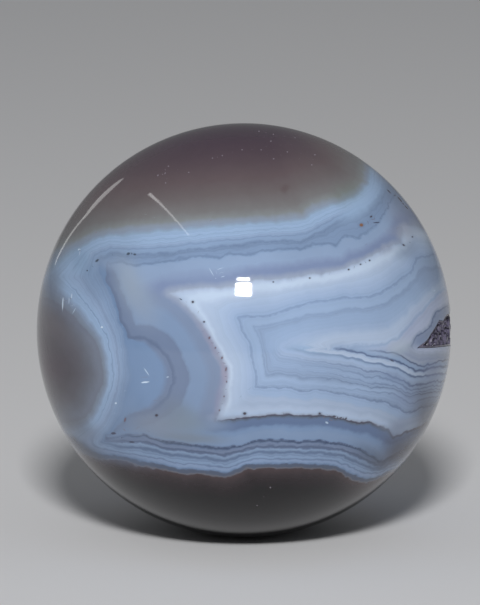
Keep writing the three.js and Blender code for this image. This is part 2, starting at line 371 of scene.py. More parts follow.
# How strongly the finest layers show: (level, strength) for each wall
FINE_LAYERS = {
    "top": [
        (0, 0), (0.15, 1), (1.0, 1), (1.3, 0.5), (2, 0.5), (2.3, 0.05), (4.1, 0.05), (4.6, 0.4),
        (6, 0.3), (7, 0.15), (8, 0.3), (10, 0.3),
    ],
    "left": [
        (0, 0), (0.15, 0.8), (1.0, 0.8), (1.2, 0.05), (4.2, 0.05), (4.6, 0.4), (6, 0.3),
        (6.5, 0.1), (8, 0.1),
    ],
    "bottom": [
        (0, 0), (0.1, 0.8), (0.4, 0.5), (2.0, 1.0), (2.3, 0.1), (4.2, 0.1), (5, 0.6), (7, 0.6),
        (9, 0.5), (10, 0.3),
    ],
}

# Turned ellipses start with (across, up, half length, half width, turn in degrees).
# Places where the thin lines fade: ellipse and share lost
FADES = [
    (-21, -15.3, 3.6, 2.2, 0, 0.8), (-20.5, 9.5, 2.6, 3.5, 20, 0.6), (28.5, 6, 4, 4, 45, 0.5),
    (-29.5, 8, 3.2, 3.6, 0, 0.9), (20.9, -15, 1.9, 1.2, -25, 0.55), (19, 15, 5, 2.5, 25, 0.45),
    (-16.8, -12.8, 3.5, 1.8, 20, 0.6), (-17.6, -16.2, 4.2, 1.1, -6, 0.45),
]
# Soft areas of another colour, and painted shade at the lower right rim: ellipse, colour and
# strength
COLOUR_AND_SHADE_PATCHES = [
    (-13, -14.2, 4.2, 2, -8, (136, 141, 150), 0.55),
    (-15.6, -14, 2.6, 1.2, 30, (133, 151, 178), 0.5),
    (-18.4, -14.6, 2.6, 1.2, 40, (128, 149, 180), 0.55),
    (-18, -11.6, 2.2, 1.3, 50, (130, 153, 186), 0.5),
    (-5.3, -14.2, 3.2, 1.1, -4, (130, 149, 177), 0.8),
    (-10.6, -12, 2.4, 2.2, -40, (120, 133, 152), 0.65),
    (-8.8, -14.4, 2.8, 1.1, -8, (129, 145, 160), 0.55),
    (-4.7, -13.1, 1.3, 0.6, 0, (150, 162, 186), 0.6),
    (-8, -16.2, 4.8, 0.8, -4, (124, 133, 142), 0.6),
    (-17.3, 7.2, 1.9, 3.8, 18, (158, 171, 187), 0.65),
    (-15.2, 4, 2.2, 3.6, 22, (149, 163, 184), 0.5),
    (24.2, 17.6, 2, 3.4, 25, (135, 145, 170), 0.6),
    (23.6, 21, 1.6, 3, 40, (112, 133, 164), 0.6),
    (19.2, 19.8, 3.2, 0.9, 55, (154, 179, 210), 0.55),
    (16.6, 18.2, 2.6, 0.6, 28, (146, 171, 203), 0.5),
    (17.5, 19.1, 3.2, 1.2, 42, (164, 192, 225), 0.7),
    (20.2, 21.9, 2.8, 1.3, 48, (158, 184, 218), 0.55),
    (-8.3, -13, 2.2, 1.4, -20, (126, 138, 146), 0.45),
    (24.8, 12.3, 2, 1.4, 25, (116, 133, 158), 0.5),
    (24.8, 14.9, 1.3, 0.5, 100, (172, 180, 202), 0.4),
    (-23.9, -18.4, 3.4, 1.1, -33, (66, 70, 82), 0.6),
    (24.6, 15.1, 2.2, 0.9, 0, (160, 166, 182), 0.5),
    # Painted shade: these three darken the lower right rim
    (26.5, -17.2, 5.5, 2.2, 28, (74, 72, 85), 0.75),
    (23.8, -18.6, 2.6, 1.8, 25, (62, 60, 72), 0.6),
    (28.2, -13, 2.6, 6, 14, (58, 56, 70), 0.7),
    (19.6, -19.3, 3, 1.3, -38, (80, 92, 112), 0.55),
    (-19.9, -19.2, 6, 1.1, -10, (104, 122, 150), 0.5),
    (-25.5, -14.5, 3.5, 1.6, -30, (104, 110, 124), 0.6),
    (-29.3, 6.8, 1.6, 2.6, 0, (122, 132, 150), 0.6),
    (-24.6, 10.4, 1.6, 2.4, 30, (120, 148, 178), 0.4),
    (28.5, 8.5, 2.2, 3, 20, (118, 130, 156), 0.35),
    (17.5, 0.9, 5, 1.3, 0, (132, 152, 186), 0.12),
    (23.6, -2.4, 1.7, 1, 25, (176, 190, 205), 0.6),
    (24.1, -3, 1.7, 0.5, 32, (146, 161, 180), 0.45),
    (25.9, 1.9, 0.8, 3.4, -33, (158, 170, 200), 0.35),
    (26.8, -1.8, 0.9, 0.9, 0, (124, 142, 176), 0.5),
    (15.8, 20.8, 2.4, 1.5, 20, (110, 121, 112), 0.45),
    (-5, -1.6, 3.2, 0.6, -59, (144, 142, 165), 0.6),
    (-3.3, -4.7, 1.6, 0.5, -68, (142, 148, 170), 0.5),
    (-2.9, -6.4, 1.7, 0.55, 88, (162, 150, 170), 0.5),
    (-2.7, -10, 1.8, 0.45, 80, (142, 146, 166), 0.5),
    (-3.9, -10.2, 2.6, 0.5, 80, (146, 142, 168), 0.4),
    (6.2, 21.5, 0.7, 0.6, 0, (92, 76, 78), 0.5),
    (-22.6, 6.8, 1.8, 2.6, 15, (116, 138, 168), 0.3),
    (-20.7, 10.1, 2.1, 1, -20, (143, 160, 187), 0.5),
    (-8.6, 8.3, 6.4, 1, 3, (142, 161, 192), 0.55),
    (21.6, 12.2, 1.1, 0.6, 30, (140, 147, 171), 0.6),
    (23.8, -14.4, 2.2, 1.3, 20, (130, 143, 168), 0.6),
    (22.8, -16.6, 2, 1.8, 30, (90, 100, 126), 0.5),
    (20.1, -3.3, 2, 0.5, -20, (162, 181, 210), 0.5),
    (22.9, -7, 2.2, 0.9, -22, (120, 139, 174), 0.5),
    (24.3, -10.4, 2, 1.6, -10, (126, 142, 176), 0.45),
    (28.9, -6.2, 1.6, 1.7, 0, (112, 124, 156), 0.6),
    (-29.2, 1.6, 4, 2.6, -35, (108, 101, 106), 0.45),
]
PATCH_FADE = 9  # how far behind the rim the patches end, in millimetres
PATCH_FADE_POWER = 1.5
ELLIPSE_POWER = 1.3  # how steeply the patches and fades end

# Small marks, by kind: the colour and the ellipses. The dark kinds come first, and have a soft
# shadow round them.
MARKS = [
    # Black specks, mostly under the white band
    ((74, 70, 82), [
        (-7.7, 4.3, 0.2, 0.18, 0), (-6, 1.3, 0.15, 0.13, 0), (0.1, -12.5, 0.26, 0.22, 0),
        (11.4, -12.5, 0.2, 0.16, 0), (4.4, 7.3, 0.12, 0.1, 0), (9.9, 7.9, 0.14, 0.12, 0),
        (15.8, 9.2, 0.14, 0.12, 0), (17.6, 10, 0.13, 0.1, 0), (19, 10.6, 0.13, 0.12, 0),
        (24.3, 13, 0.22, 0.12, -30), (25.7, 14.3, 0.12, 0.1, 0), (-13.2, -12.8, 0.24, 0.2, 0),
        (19.3, 17.3, 0.2, 0.14, 40), (14.6, -13.2, 0.22, 0.1, 20), (15.4, -13.3, 0.2, 0.12, 60),
        (13.6, -12.95, 0.3, 0.12, 0),
    ]),
    # Reddish specks at the left end of the white band
    ((116, 100, 112), [
        (-5.2, -1.1, 0.2, 0.14, 60), (-3.3, -4.1, 0.22, 0.14, 70), (-2.7, -5.8, 0.3, 0.13, 80),
        (-4.3, -2.6, 0.14, 0.1, 60), (-2.6, -7.7, 0.15, 0.1, 90), (-3, -9.9, 0.12, 0.1, 80),
        (-3.7, -12, 0.14, 0.1, 70), (-18, -13.5, 0.34, 0.14, 75),
    ]),
    # An orange fleck
    ((136, 100, 82), [
        (17.8, 16, 0.3, 0.26, 0),
    ]),
    # Dark blue chips
    ((78, 84, 106), [
        (20.1, 16.4, 0.5, 0.1, 5), (22.4, -4.55, 0.4, 0.12, -25), (-19.8, -15.6, 0.4, 0.2, 0),
        (-17, -16.9, 0.4, 0.14, -5), (22.2, 21.3, 0.45, 0.12, -45), (23.9, 20.1, 0.6, 0.14, -50),
        (24.9, 18.9, 0.4, 0.1, -45),
    ]),
    # Lint
    ((176, 195, 218), [
        (-14.7, -6.2, 0.7, 0.09, -55), (-11.5, -7, 0.2, 0.08, 10), (12.5, -13.9, 0.26, 0.16, -30),
        (29.1, 6.1, 0.2, 0.12, 40), (-25, 11.9, 0.5, 0.06, 80), (-26.6, 4.8, 0.8, 0.07, 88),
        (-25.8, 3, 0.5, 0.06, 60), (-4.9, 8.8, 0.7, 0.07, -60), (-3.6, 9.3, 0.5, 0.06, 20),
        (-3.2, 8.1, 0.3, 0.07, 15),
    ]),
    # Dust
    ((138, 130, 141), [
        (4, -23.8, 0.12, 0.12, 0), (2, -26.6, 0.09, 0.09, 0), (2.3, 30.5, 0.12, 0.1, 0),
        (4.5, 30, 0.1, 0.1, 0), (4.1, 28.9, 0.14, 0.1, 20), (2.6, 27.5, 0.1, 0.09, 0),
        (6.6, 27.2, 0.12, 0.1, 0), (7.8, 29.5, 0.1, 0.08, 0), (10.8, 26.8, 0.14, 0.1, 0),
        (10.3, 25.2, 0.12, 0.1, 0), (4.5, 26.1, 0.12, 0.09, 0), (-13.1, 23.6, 0.14, 0.1, 50),
        (-12, 23.9, 0.16, 0.08, 60), (-11.5, 25, 0.12, 0.1, 0), (-11.9, 22.4, 0.1, 0.1, 0),
        (-8.4, 24, 0.12, 0.08, 0), (-4.8, 26.2, 0.1, 0.08, 0), (-3.3, 26.6, 0.1, 0.1, 0),
        (-0.3, 27.5, 0.1, 0.09, 0), (-20.7, 24.2, 0.12, 0.1, 0), (-5, 16.6, 0.16, 0.08, 10),
        (-22.5, 14.9, 0.14, 0.08, 60),
    ]),
    # Bright glints
    ((205, 222, 240), [
        (-14.9, -7.8, 0.62, 0.12, 6), (-19.4, -11, 0.16, 0.14, 0), (-21.5, 0.5, 0.17, 0.14, 0),
        (-27.6, 4.1, 1, 0.1, 88), (-26.2, 5.2, 0.5, 0.06, 84), (-25.1, 12.3, 0.2, 0.16, 0),
    ]),
    # Grey smudges
    ((76, 88, 104), [
        (-22.3, 10.6, 0.34, 0.18, 35), (-17.5, 11.6, 0.3, 0.2, 20), (-16.5, 11.5, 0.24, 0.15, 0),
        (-23.8, 9.1, 0.12, 0.12, 0), (-9.5, 4.7, 0.26, 0.08, -30),
    ]),
]
DARK_MARK_KINDS = 3
NO_MARK = 9  # far outside every mark, and no kind

# How the ball's surface reads the pattern on its face: with wiggles, as (wavelength, size,
# seed), and behind the rim with a shift that grows with the distance and wiggles slowly
WIGGLES = ((5.0, 0.06, 11), (2.2, 0.06, 21), (1.0, 0.035, 31))
BACK_EASE = 8
BACK_SHIFT = (0.68, 0.2)
BACK_WIGGLE = 0.09
BACK_WAVELENGTH = 26
BACK_SEED = 41

# The agate's looks. The wobble and the crinkle shift the lines each way, in millimetres. The
# crinkle works on the top wall, where it grows and fades between four levels.
AGATE_IOR = 1.54
AGATE_ROUGHNESS = 0.04
AGATE_WEAR = 0.02
AGATE_GLOW = 0.1  # the share of light that goes some way inside the stone
AGATE_GLOW_RADII = (1.0, 0.9, 0.8)
AGATE_GLOW_REACH = 0.0008
WOBBLE = 0.2
CRINKLE = 0.34
CRINKLED = (0.9, 1.5, 2.4, 3.0)
LINE_WIDTHS = (0.7, 1.35)
LAYER_DRIFT = 0.08
LAYER_NOISE = (1.5, 3, 0.7)  # waves in a millimetre of depth, detail and roughness
LAYER_RANGE = (0.25, 0.75)
LAYER_STRENGTH = 0.09
HAIR_NOISE = (1.9, 1)
HAIR_OFFSET = 40.0
HAIR_WIDTHS = (0.06, 0.015)
HAIR_STRENGTH = 0.1
CLOUDS = (0.94, 1.06)
MARK_EDGE = (1.3, 0.55)
MARK_RAGGED = 0.25
SHADOW_EDGE = (2.6, 0.8)
SHADOW_STRENGTH = 0.3
WALL_DEPTHS = (0.02, 0.25)  # how far under the polish the pocket's rough wall sets in
WALL_GRAIN = (0.7, 1.25)
WALL_ROUGHNESS = 0.45

# The looks of the quartz in the pocket
QUARTZ_IOR = 1.544
QUARTZ_DARK = (60, 57, 75)
QUARTZ_LIGHT = (126, 120, 146)
QUARTZ_SPOTS = (188, 182, 202)
QUARTZ_ROUGHNESS = (0.12, 0.3)
QUARTZ_TRANSMISSION = 0.25

# The materials' noises: waves in a metre, detail, and the part of its values that is used
NOISES = {
    "wobble": (1100, 3, 0, 1),
    "crinkle": (640, 2, 0.2, 0.8),
    "line width": (420, 2, 0.3, 0.7),
    "layer drift": (260, 2, 0, 1),
    "cloud": (95, 3, 0.3, 0.7),
    "mark edge": (2600, 2, 0, 1),
    "wall grain": (2400, 2, 0.3, 0.7),
    "wear": (600, 4, 0.3, 0.8),
    "quartz cloud": (900, 3, 0.35, 0.68),
    "quartz spots": (3800, 1, 0.66, 0.74),
    "quartz polish": (1500, 2, 0.3, 0.7),
}

# The ball's mesh: how often each side of its icosahedron is cut, and how much finer its
# triangles are on the face
BALL_CUTS = 97
FACE_CLOSENESS = 1.35
SURFACE_SLACK = 0.006  # how far under the polish a vertex still counts as on it
FLAT_CORNERS = 8  # only the resting flat's face has so many corners
SHARP_ANGLE = math.radians(35)
SAME_PLACE = 1e-7  # in metres
SAME_CORNER = 1e5  # the parts of the radius to which corners that meet agree

# The pocket in the right side, as in the solid: its edges are (distance along the surface from
# the tip, height over the ball's middle along the face's up direction).
POCKET_TIP_ANGLE = math.radians(55.6)
POCKET_LENGTH = 28.9
LOWER_EDGE = [(0, -2.72), (5.4, -2.65), (12.4, -2.42), (19.4, -2.35), (25.4, -1.7), (28.9, 0.5)]
UPPER_EDGE = [
    (0, -2.66), (0.9, -2.2), (2.3, -1.7), (3.1, -1.3), (3.9, -0.6), (5.5, 0.4), (6.8, 1.2),
    (7.4, 1.6), (9.5, 1.5), (10.3, 2.0), (12.2, 2.5), (14.1, 2.6), (16, 2.9), (19.4, 3.1),
    (25.4, 2.7), (28.9, 0.8),
]
POCKET_DEPTH_SHARE = 1.25
POCKET_RISE = 1.5
POCKET_ROUGHNESS = 0.25
POCKET_WAVELENGTH = 2.4
POCKET_SEED = 51
POCKET_MESH = (80, 36)  # rows along it and sides round it
NARROWEST = 0.1  # the least half width inside an inset

# The crust in the pocket and its crystals, in millimetres. The crust lies between two insets
# from the pocket's wall.
CRUST_INSETS = (0.02, 0.3)
CRUST_TRIM = 0.02
HOLLOW_MESH = (60, 24)
CRYSTAL_COUNT = 820
CRYSTAL_SEED = 1000
CRYSTAL_RADII = (0.15, 0.48)
CRYSTAL_SIZE_POWER = 1.5  # makes small crystals more common
CRYSTAL_LENGTHS = (0.4, 4.4)  # of the prism, in radii
SHORTEST_PRISM = 0.1
PRISM_START = 0.15
TIP_LENGTHS = (1.0, 1.4)  # in radii
CRYSTAL_SPREAD = math.radians(76)
CRYSTAL_LEAN = 0.6
CRYSTAL_AIM = 0.4  # the inset of the point that a crystal grows towards
CRYSTAL_ASIDE = UP + 0.3 * ACROSS
CRYSTAL_UNEVEN = 0.12
CRYSTAL_ROOT = 0.6
CRYSTAL_GAP = 0.1  # between the crystals' tips and the ball's surface, at least
TIP_DEPTHS = 0.5  # how far apart in depth the tips end below the ball's surface
TIP_CRYSTALS = 0.45  # the narrowest half width of the pocket with crystals
FULL_HALF_WIDTH = 1.8  # the half width where crystals have their full size
MOST_GROWTH = 1.3
LIMIT_CUTS = 48


def face_place(across, up, near=0.0):
    """The world place, in metres, of a point given by the face's directions in millimetres."""
    return CENTRE + Vector(np.array((across, up, near)) @ FACE_AXES) * MM


def make_camera():
    data = bpy.data.cameras.new("camera")
    data.lens = CAMERA_LENS
    data.sensor_width = CAMERA_SENSOR
    data.clip_start, data.clip_end = CAMERA_CLIP
    camera = bpy.data.objects.new("camera", data)
    camera.location = face_place(0, 0, CAMERA_DISTANCE)
    aim = face_place(*CAMERA_AIM) - camera.location
    camera.rotation_euler = aim.to_track_quat("-Z", "Y").to_euler()
    bpy.context.scene.collection.objects.link(camera)
    bpy.context.scene.camera = camera


def linear(colour):
    """The linear light of a colour given as 0 to 255 for display."""
    value = np.array(colour, float) / 255
    return np.where(value <= 0.04045, value / 12.92, ((value + 0.055) / 1.055) ** 2.4)


def opaque(colour):
    """A colour given as 0 to 255 for display, as a shader takes it."""
    return (*linear(colour), 1)


def ripple(points, wavelength, seed):
    """A smooth random value of about -1 to 1 at each point, from waves in many directions."""
    random = np.random.default_rng(seed)
    turns = random.normal(size=(RIPPLE_WAVES, 3))
    turns *= 2 * math.pi / wavelength / np.linalg.norm(turns, axis=1, keepdims=True)
    turns *= random.uniform(*RIPPLE_SPREAD, size=(RIPPLE_WAVES, 1))
    starts = random.uniform(0, 2 * math.pi, RIPPLE_WAVES)
    return np.sin(points @ turns.T + starts).sum(1) / math.sqrt(RIPPLE_WAVES)


def line_distance(places, line):
    """The distance from each place on the face to a line of points."""
    nearest = np.full(len(places), float(FAR))
    points = np.array(line, float)
    for start, end in zip(points[:-1], points[1:]):
        run = end - start
        share = np.clip((places - start) @ run / (run @ run), 0, 1)
        off = places - start - share[:, None] * run
        nearest = np.minimum(nearest, np.hypot(off[:, 0], off[:, 1]))
    return nearest


def line_offset(places, line):
    """The distance from each place to a line that runs across, below 0 under the line."""
    beyond = places[:, 1] - np.interp(places[:, 0], *zip(*line))
    return np.sign(beyond) * np.minimum(line_distance(places, line), VEIN_REACH)


def inside(places, outline):
    """Whether each place on the face lies inside a closed outline."""
    points = np.array(outline, float)
    result = np.zeros(len(places), bool)
    for (x0, y0), (x1, y1) in zip(points, np.roll(points, -1, axis=0)):
        if y0 != y1:
            crosses = (y0 > places[:, 1]) != (y1 > places[:, 1])
            at = x0 + (x1 - x0) * (places[:, 1] - y0) / (y1 - y0)
            result ^= crosses & (places[:, 0] < at)
    return result


def front_outline(front):
    """The area inside a front, which is open far to the right."""
    line = front["top"] + front["left"] + front["bottom"]
    return line + [(FAR, line[-1][1]), (FAR, line[0][1])]


def in_clear_stone(places):
    """Whether each place lies over the first front's top line, left of its left line or under
    its bottom line."""
    top, left, bottom = (CLEAR_EDGE[wall] for wall in WALLS)
    high, low = (-FAR, left[0][1]), (-FAR, left[-1][1])
    over = inside(places, top + [high, (-FAR, FAR), (top[0][0], FAR)])
    beside = inside(places, [high] + left + [low])
    below = inside(places, bottom + [(FAR, CLEAR_EDGE_RISE), (FAR, -FAR), (-FAR, -FAR), low])
    return over | beside | below


def band_levels(places):
    """Each place's level, the millimetres from front to front there and its share of each
    wall. A level is the number of the last front passed, plus the share of the way to the
    next."""
    walls = np.stack([[line_distance(places, front[wall]) for wall in WALLS] for front in FRONTS])
    nearest = walls.min(1)
    passed = np.sum([inside(places, front_outline(front)) for front in FRONTS[1:]], axis=0)
    following = np.minimum(passed + 1, len(FRONTS) - 1)
    rows = np.arange(len(places))
    before = nearest[passed, rows]
    after = nearest[following, rows]
    zone = before + after + 1e-9
    level = passed + before / zone
    last = passed == len(FRONTS) - 1
    level[last] = passed[last] + np.minimum(before[last] / CORE_DEPTH, 0.99)
    clear = in_clear_stone(places)
    level[clear] = -nearest[0][clear]
    zone[clear] = 1
    reach = (walls[passed, :, rows] + walls[following, :, rows]) / 2
    reach[clear] = walls[0][:, clear].T
    weight = np.exp((reach.min(1, keepdims=True) - reach) / WALL_BLEND)
    return level, zone, weight / weight.sum(1, keepdims=True)


def fan_levels(places, level, bottom_share):
    """The levels between the fan's own lines, at the lower right."""
    across, up = places.T
    heights = np.stack([np.interp(across, *zip(*line)) for _, line in FAN_LINES])
    result = level.copy()
    for (low, _), (high, _), floor, roof in zip(FAN_LINES, FAN_LINES[1:], heights, heights[1:]):
        between = (up >= floor) & (up < roof)
        share = (up - floor) / np.maximum(roof - floor, 1e-6)
        result[between] = (low + (high - low) * share)[between]
    first, last = FAN_LINES[0][0], FAN_LINES[-1][0]
    blend = bottom_share * np.interp(across, FAN_BLEND, (0, 1)) * ((level > first) & (level < last))
    return level + (result - level) * blend


def pattern_places(points):
    """Where each point of the surface reads the bands on the face. Behind the ball they run on,
    drawn in to one side as the layers in the stone turn."""
    face = points @ FACE_AXES.T
    behind = np.maximum(0, -face[:, 2])
    shift = behind**2 / (behind + BACK_EASE)
    places = face[:, :2] - shift[:, None] * np.array(BACK_SHIFT)
    for axis in range(2):
        for wavelength, size, seed in WIGGLES:
            places[:, axis] += size * ripple(points, wavelength, seed + axis)
        wiggle = ripple(points, BACK_WAVELENGTH, BACK_SEED + axis)
        places[:, axis] += BACK_WIGGLE * shift * wiggle
    return places


def ellipse_frame(places, across, up, length, width, turn):
    """How far each place lies along and beside a turned ellipse's middle: 1 is its edge."""
    offset = places - np.array((across, up))
    angle = math.radians(turn)
    along = offset @ (math.cos(angle), math.sin(angle)) / length
    beside = offset @ (-math.sin(angle), math.cos(angle)) / width
    return along, beside


def soft_ellipse(places, ellipse):
    """1 in the middle of a turned ellipse, falling softly to 0 outside it."""
    along, beside = ellipse_frame(places, *ellipse)
    return np.exp(-((along**2 + beside**2) ** ELLIPSE_POWER))


def tints(places, face):
    """The patches' colour at each place, painted shade among it, and how strong it is. They fade
    out behind the rim.
    """
    colour = np.zeros((len(places), 3))
    strength = np.zeros(len(places))
    seen = np.clip(1 + face[:, 2] / PATCH_FADE, 0, 1) ** PATCH_FADE_POWER
    for *ellipse, shown, most in COLOUR_AND_SHADE_PATCHES:
        share = most * soft_ellipse(places, ellipse) * seen
        total = np.maximum(strength + share, 1e-6)
        colour += (linear(shown) - colour) * (share / total)[:, None]
        strength = 1 - (1 - strength) * (1 - share)
    return colour, strength


def line_fades(places):
    """The share of the thin lines' strength that is left at each place."""
    kept = np.ones(len(places))
    for *ellipse, lost in FADES:
        kept *= 1 - lost * soft_ellipse(places, ellipse)
    return kept


def nearest_marks(face):
    """Each point's place in the frame of the nearest mark, where 1 is the mark's edge, and the
    mark's kind."""
    result = np.full((len(face), 3), float(NO_MARK))
    best = np.full(len(face), float(FAR))
    front = face[:, 2] > 0
    for kind, (_, marks) in enumerate(MARKS):
        for mark in marks:
            across, up, length, *_ = mark
            away = np.hypot(face[:, 0] - across, face[:, 1] - up) / (1 + length)
            closer = front & (away < best)
            best[closer] = away[closer]
            result[closer, :2] = np.stack(ellipse_frame(face[closer, :2], *mark), 1)
            result[closer, 2] = kind
    return result


def edit(obj, change):
    """Makes a change to an object's mesh."""
    bm = bmesh.new()
    bm.from_mesh(obj.data)
    change(bm)
    bm.to_mesh(obj.data)
    bm.free()


def face_outwards(bm):
    bmesh.ops.recalc_face_normals(bm, faces=bm.faces)


def cut_flat(bm):
    """Grinds the ball's resting flat at the floor's height."""
    geometry = bm.verts[:] + bm.edges[:] + bm.faces[:]
    cut = bmesh.ops.bisect_plane(
        bm, geom=geometry, dist=SAME_PLACE, plane_co=(0, 0, LOW.z), plane_no=(0, 0, -1),
        clear_outer=True,
    )
    edges = [part for part in cut["geom_cut"] if isinstance(part, bmesh.types.BMEdge)]
    bmesh.ops.contextual_create(bm, geom=edges)


def keep_largest(bm):
    """Deletes the scraps that the cuts left apart from the largest piece."""
    bmesh.ops.remove_doubles(bm, verts=bm.verts, dist=SAME_PLACE)
    bmesh.ops.dissolve_degenerate(bm, edges=bm.edges, dist=SAME_PLACE)
    left = set(bm.verts)
    largest = []
    while left:
        start = left.pop()
        piece = [start]
        for vert in piece:
            for edge in vert.link_edges:
                other = edge.other_vert(vert)
                if other in left:
                    left.remove(other)
                    piece.append(other)
        if len(piece) > len(largest):
            piece, largest = largest, piece
        bmesh.ops.delete(bm, geom=piece, context="VERTS")


def new_object(name, points, faces, collection=None):
    """A closed mesh object from points in millimetres about the ball's middle."""
    mesh = bpy.data.meshes.new(name)
    places = np.asarray(points) * MM + np.array(CENTRE)
    mesh.from_pydata(places.tolist(), [], [tuple(face) for face in faces])
    mesh.update()
    obj = bpy.data.objects.new(name, mesh)
    (collection or bpy.context.scene.collection).objects.link(obj)
    edit(obj, face_outwards)
    return obj


def combine(obj, other, operation):
    """Joins or cuts an object with another object, or with all those of a collection, and
    discards them."""
    modifier = obj.modifiers.new(operation, "BOOLEAN")
    modifier.operation = operation
    modifier.solver = "MANIFOLD"
    if isinstance(other, bpy.types.Collection):
        modifier.operand_type = "COLLECTION"
        modifier.collection = other
        used = list(other.objects)
    else:
        modifier.object = other
        used = [other]
    graph = bpy.context.evaluated_depsgraph_get()
    mesh = bpy.data.meshes.new_from_object(obj.evaluated_get(graph))
    obj.modifiers.clear()
    spent = [obj.data] + [piece.data for piece in used]
    obj.data = mesh
    for piece in used:
        bpy.data.objects.remove(piece)
    for old in spent:
        bpy.data.meshes.remove(old)


def fine_sphere(cuts):
    """Unit directions and triangles: an icosahedron's faces, each cut into even triangles."""
    bm = bmesh.new()
    bmesh.ops.create_icosphere(bm, subdivisions=1, radius=1)
    corners = np.array([[vertex.co for vertex in face.verts] for face in bm.faces])
    bm.free()
    steps = [(i, j) for i in range(cuts + 1) for j in range(cuts + 1 - i)]
    number = {step: index for index, step in enumerate(steps)}
    share = np.array(steps) / cuts
    weights = np.stack((1 - share.sum(1), share[:, 0], share[:, 1]), 1)
    template = []
    for i, j in steps:
        if i + j < cuts:
            template.append((number[i, j], number[i + 1, j], number[i, j + 1]))
        if i + j < cuts - 1:
            template.append((number[i + 1, j], number[i + 1, j + 1], number[i, j + 1]))
    template = np.array(template)
    points = np.concatenate([weights @ face for face in corners])
    faces = np.concatenate([template + len(steps) * index for index in range(len(corners))])
    _, first, same = np.unique(
        np.round(points * SAME_CORNER).astype(int), axis=0, return_index=True, return_inverse=True
    )
    points = points[first]
    points /= np.linalg.norm(points, axis=1, keepdims=True)
    return points, same.reshape(-1)[faces]


def gathered(directions, closeness):
    """Moves directions towards the face, so that its triangles are finer by the closeness."""
    near = directions @ NEAR
    flat = directions - near[:, None] * NEAR
    pull = 1 / closeness
    whole = (1 + near) + pull**2 * (1 - near)
    new_near = ((1 + near) - pull**2 * (1 - near)) / whole
    return flat * (2 * pull / whole)[:, None] + new_near[:, None] * NEAR


def pocket_heights(along):
    """The height of the pocket's middle, and half its width, at a distance from its tip."""
    low, high = (np.interp(along, *zip(*edge)) for edge in (LOWER_EDGE, UPPER_EDGE))
    return (low + high) / 2, (high - low) / 2


def pocket_point(along, turn, inset):
    """A point on the pocket's wall. The turn is 0 on its floor and 90 degrees at its upper
    edge."""
    middle, half = pocket_heights(along)
    inward = math.cos(turn)
    reach = half * POCKET_DEPTH_SHARE - inset if inward > 0 else POCKET_RISE
    around = POCKET_TIP_ANGLE + along / BALL_RADIUS
    latitude = math.asin((middle + (half - inset) * math.sin(turn)) / BALL_RADIUS)
    radius = BALL_RADIUS - reach * inward
    flat = radius * math.cos(latitude)
    return (
        flat * math.sin(around) * ACROSS
        + radius * math.sin(latitude) * UP
        + flat * math.cos(around) * NEAR
    )


def wide_rows(inset, rows):
    """The distances along the pocket where it is wide enough to take the inset."""
    least = inset + NARROWEST if inset else 0
    distances = np.linspace(0, POCKET_LENGTH, rows + 1)
    return [along for along in distances if pocket_heights(along)[1] > least]


def pocket_form(name, inset, rows_and_sides=POCKET_MESH):
    """A closed form that follows the pocket's rough wall, smaller all round by the inset."""
    rows, sides = rows_and_sides
    distances = wide_rows(inset, rows)
    turns = [2 * math.pi * side / sides for side in range(sides)]
    points = np.array([pocket_point(along, turn, inset) for along in distances for turn in turns])
    radius = np.linalg.norm(points, axis=1)
    push = POCKET_ROUGHNESS * np.clip(BALL_RADIUS - radius, 0, 1)
    push *= ripple(points, POCKET_WAVELENGTH, POCKET_SEED)
    points -= points / radius[:, None] * push[:, None]
    last = (len(distances) - 1) * sides
    faces = []
    for row in range(0, last, sides):
        for side in range(sides):
            a, b = row + side, row + (side + 1) % sides
            faces.append((a, b, b + sides, a + sides))
    faces.append(tuple(reversed(range(sides))))
    faces.append(tuple(range(last, last + sides)))
    return new_object(name, points, faces)


def mesh_points(mesh):
    """The vertices in millimetres about the ball's middle."""
    flat = np.zeros(len(mesh.vertices) * 3, np.float32)
    mesh.vertices.foreach_get("co", flat)
    return (flat.reshape(-1, 3).astype(float) - np.array(CENTRE)) / MM


def polish_normals(mesh):
    """Gives the polished surface the exact normals of a ball, and keeps its edges crisp."""
    points = mesh_points(mesh)
    radius = np.linalg.norm(points, axis=1)
    mesh.shade_smooth()
    mesh.set_sharp_from_angle(angle=SHARP_ANGLE)
    normals = np.zeros((len(mesh.loops), 3))
    on_surface = radius > SURFACE_RADIUS - SURFACE_SLACK
    for polygon in mesh.polygons:
        corners = list(polygon.vertices)
        if len(corners) < FLAT_CORNERS and on_surface[corners].all():
            for loop, corner in zip(polygon.loop_indices, corners):
                normals[loop] = points[corner] / radius[corner]
    mesh.normals_split_custom_set(normals.tolist())


def store(mesh, name, values):
    """Stores a value or a vector for each vertex."""
    values = np.asarray(values, np.float32)
    kind, field = ("FLOAT", "value") if values.ndim == 1 else ("FLOAT_VECTOR", "vector")
    attribute = mesh.attributes.new(name, kind, "POINT")
    attribute.data.foreach_set(field, values.reshape(-1))


